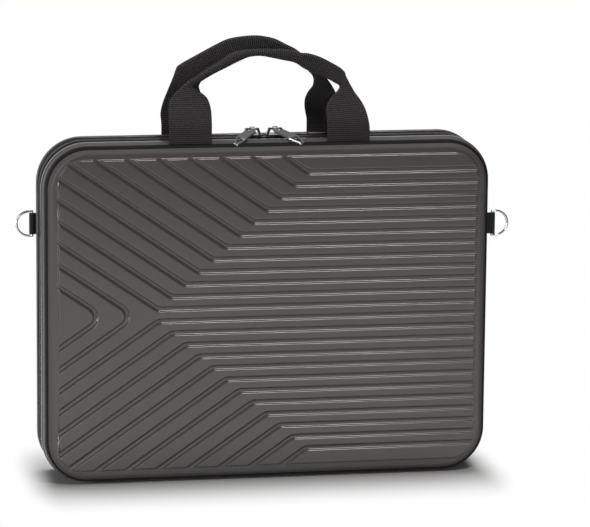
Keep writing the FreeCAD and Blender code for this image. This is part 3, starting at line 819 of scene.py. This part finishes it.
rear_edges = [
    (-87.6, 0, -49.6, 0, 2), (-87.6, 13, -49.6, 13, 2), (-88.6, 21.7, -49.9, 20.9, 2),
    (-87.6, 31.3, -51.1, 30.6, 2.2), (-84.5, 42.8, -53.3, 38.5, 2.8), (-80.3, 55.6, -55.8, 44.5, 4),
    (-77.4, 65.2, -57.1, 47.9, 5), (-75, 68, -57, 49.8, 5), (-69.3, 71.7, -55.3, 53.2, 5),
    (-59.1, 77.2, -49.5, 59.7, 5), (-46.3, 84, -38.1, 66.8, 5), (-36.1, 89, -29.1, 72, 5),
    (-28.4, 91.4, -23.3, 74.6, 5), (-17, 92.9, -13.9, 77.2, 5.2), (-5.4, 93.2, -4.9, 79.2, 5.5),
    (4.9, 91.5, 2.3, 79.6, 6), (11.3, 89.5, 7.7, 78.6, 6.5), (20.3, 84.9, 14.9, 74.9, 7),
    (28.1, 81, 22.2, 71.2, 7), (34.8, 75.9, 29, 68, 7), (43, 69.5, 34.9, 63.8, 6.5),
    (50.4, 62.6, 40.5, 60.5, 6), (59.1, 51.7, 45.2, 54.6, 4.5), (63.9, 45.1, 45.7, 47.1, 3.6),
    (69.1, 36.6, 42.2, 40.7, 2.8), (74.3, 30, 40.3, 33.7, 2.2), (78.3, 21.2, 40.9, 25.5, 2),
    (81, 15, 42.9, 16.5, 2), (81.3, 13, 43.3, 13, 2), (81.3, 0, 43.3, 0, 2)]

print(len(front_edges), "and", len(rear_edges), "rows")

# %% The two handles
seam_mid_mm, root_base_mm = 25.35, 299.8  # where the ends are sewn in: depth, and foot
root_mm, lean_end_mm = 13, 0.78 * 86.0  # above the foot the lean to the mid-plane starts and ends
half_gap_mm = 0.3  # each grip stands this far from the mid-plane
flat_mm, folded_mm = 36, 22  # widths across the webbing where its fold begins and is closed


def handle_loft(rows, facing):
    """Loft of one handle, before the mid-plane for facing -1 and behind it for facing 1."""
    stations = []
    for outer_x, outer_up, inner_x, inner_up, thickness in smooth_through(rows, 3):
        up = (outer_up + inner_up) / 2
        share = min(max((up - root_mm) / (lean_end_mm - root_mm), 0), 1)
        ease = share * share * (3 - 2 * share)
        depth = seam_mid_mm * (1 - ease) + (thickness / 2 + half_gap_mm) * ease
        centre = Vector(((outer_x + inner_x) / 2, facing * depth, root_base_mm + up)) * mm
        across = Vector((inner_x - outer_x, 0, inner_up - outer_up)) * mm
        fold = min(max((flat_mm - across.length / mm) / (flat_mm - folded_mm), 0), 1)
        stations.append((centre, across.normalized(), across.length, thickness * mm, fold))
    return webbing_loft(stations)


for half, rows, facing in (("front", front_edges, -1), ("rear", rear_edges, 1)):
    low, high = ((0, facing * seam_mid_mm * mm, level * mm)
                 for level in (root_base_mm, root_base_mm + root_mm))
    make_piece(half + "_webbing_handle", handle_loft(rows, facing), handle_webbing,
               blend=(half + "_half", half + "_handle", low, high), weighted=False, angle=60,
               replaced=["handle_" + half, half + "_handle_root_left", half + "_handle_root_right"])

# %% [markdown]
# ## D-rings and their tabs
#
# A D-ring is bent from round wire and plated, so it only needs a smooth skin and a mirror-like
# metal. Its tab is a short loop of webbing.

# %% Rings and tabs
for side in ("left", "right"):
    make_piece("ring_%s_plated" % side, merged("ring_" + side), ring_chrome,
               side + "_ring", ["ring_" + side], angle=50)
    soft_copy("ring_tab_" + side, strap_webbing, 0.6, 3, uv=flat_uv)

# %% [markdown]
# ## Inside the case
#
# Open the lid and the hard case turns soft. Each shell has a foam tray faced with knitted cloth.
# In the rear half a quilted cushion, four corner pads and two straps hold the computer, and the
# lid has a flat pocket with an elastic edge. None of it shows in the photograph, so it follows
# what such cases have. Foam parts are closed forms with generous radii, and cloth parts are thin
# sheets.

# %% Foam trays
for half in ("front", "rear"):
    tray = soft_copy(half + "_lining", lining_knit, 0.9, 3)

# %% Quilted cushion
cushion_low, cushion_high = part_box("laptop_cushion")
quilt_pitch, channel_depth, channel_crisp, edge_round = 0.06, 2.4 * mm, 6, 4 * mm


def cushion_form():
    """Foam pad whose face swells between diagonal sewn channels and draws in at its edges."""
    bm = bmesh.new()
    size, centre = cushion_high - cushion_low, (cushion_low + cushion_high) / 2
    place = Matrix.Translation(centre) @ Matrix.Diagonal((*size, 1))
    bmesh.ops.create_cube(bm, size=1, matrix=place)
    for axis, cuts in ((0, 99), (2, 69)):
        long_edges = [e for e in bm.edges
                      if abs(e.verts[0].co[axis] - e.verts[1].co[axis]) > size.y * 2]
        bmesh.ops.subdivide_edges(bm, edges=long_edges, cuts=cuts, use_grid_fill=True)
    for vert in bm.verts:
        if vert.co.y < centre.y:
            x, z = vert.co.x - centre.x, vert.co.z - centre.z
            edge = min(size.x / 2 - abs(x), size.z / 2 - abs(z))
            channel = min(abs(math.sin(way * math.pi / quilt_pitch)) for way in (x + z, x - z))
            swell = (1 - math.exp(-channel * channel_crisp)) * (1 - math.exp(-edge / edge_round))
            vert.co.y = cushion_low.y + (1 - swell) * channel_depth
    return bm


cushion = make_piece("laptop_cushion_quilted", cushion_form(), lining_knit,
                     "rear_half", ["laptop_cushion"], weighted=False, angle=60)

# %% Corner pads
for level in ("lower", "upper"):
    for side in ("left", "right"):
        pad = soft_copy("corner_pad_%s_%s" % (level, side), lining_knit, 2.5, 4)

# %% Straps and their closures
for level in ("lower", "upper"):
    soft_copy("laptop_strap_" + level, strap_webbing, 0.4, 2, uv=flat_uv)
    soft_copy("strap_patch_" + level, hook_pile, 0.3, 2)

# %% Pocket in the lid
pocket_low, pocket_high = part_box("lid_pocket")
pocket_size = pocket_high - pocket_low
pocket_gap = 10.4 * mm  # between the case's outline and the pocket, round the lower corners


def thin_sheet(columns, rows, thickness, place):
    """Closed sheet of even thickness. Place turns a unit grid's two coordinates into a point."""
    bm = bmesh.new()
    bmesh.ops.create_grid(bm, x_segments=columns, y_segments=rows, size=0.5)
    for vert in bm.verts:
        vert.co = place(vert.co.x, vert.co.y)
    bmesh.ops.recalc_face_normals(bm, faces=bm.faces)
    bmesh.ops.solidify(bm, geom=bm.faces[:], thickness=thickness)
    bmesh.ops.recalc_face_normals(bm, faces=bm.faces)
    return bm


def upright_sheet(low, high, columns, rows, thickness, wave):
    """Thin sheet in the plane of the case that moves to and fro with a wave."""
    size, centre = high - low, (low + high) / 2

    def place(across, up):
        x, z = centre.x + across * size.x, centre.z + up * size.z
        return x, centre.y + wave(x, z), z

    return thin_sheet(columns, rows, thickness, place)


def pocket_wave(x, z):
    """Slack of the pocket's cloth below its elastic edge."""
    return 0.35 * mm * math.sin(x * 38) * math.sin((z - pocket_low.z) / pocket_size.z * math.pi)


def cut_to_corners(bm, gap):
    """Trims a sheet to the rounded lower corners of the case's room."""
    radius = corner - gap
    for vert in bm.verts:
        x, z = abs(vert.co.x), vert.co.z
        reach = math.hypot(x - run_top, corner - z)
        if x > run_top and z < corner and reach > radius:
            vert.co.x = math.copysign(run_top + (x - run_top) * radius / reach, vert.co.x)
            vert.co.z = corner - (corner - z) * radius / reach
    return bm


pocket_form = upright_sheet(pocket_low, pocket_high, 76, 40, 0.7 * mm, pocket_wave)
pocket = make_piece("lid_pocket_cloth", cut_to_corners(pocket_form, pocket_gap), pocket_nylon,
                    "front_half", ["lid_pocket"], weighted=False)

# %% Gathered elastic
elastic_low, elastic_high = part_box("pocket_elastic")


def gathers(x, z):
    """Small pleats that the elastic draws in the pocket's edge."""
    return 0.5 * mm * math.sin(x / (1.9 * mm))


elastic_form = upright_sheet(elastic_low, elastic_high, 380, 6, 1.2 * mm, gathers)
make_piece("pocket_elastic_gathered", elastic_form, pocket_nylon, "front_half",
           ["pocket_elastic"], weighted=False)

# %% [markdown]
# ## Fabric hinge
#
# The zipper stops short of the bottom middle, where a strip of cloth joins the halves and lets the
# lid open. It crosses the joint, so it rides on neither body and stays where it is.

# %% Gusset
gusset_low, gusset_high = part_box("hinge_gusset")
gusset_size, gusset_middle = gusset_high - gusset_low, (gusset_low + gusset_high) / 2


def gusset_place(across, back):
    """Point of the flat strip under the two halves."""
    x, y = gusset_middle.x + across * gusset_size.x, gusset_middle.y + back * gusset_size.y
    return x, y, gusset_middle.z + 0.3 * mm


gusset_form = thin_sheet(60, 24, 0.7 * mm, gusset_place)
lay_uv(gusset_form, lambda vert: (vert.co.x * to_cm, vert.co.y * to_cm))
gusset = make_piece("hinge_gusset_cloth", gusset_form, tape_cloth,
                    replaced=["hinge_gusset"], weighted=False,
                    blend=("rear_half", "front_half", (0, gusset_high.y, gusset_low.z),
                           (0, gusset_low.y, gusset_low.z)))
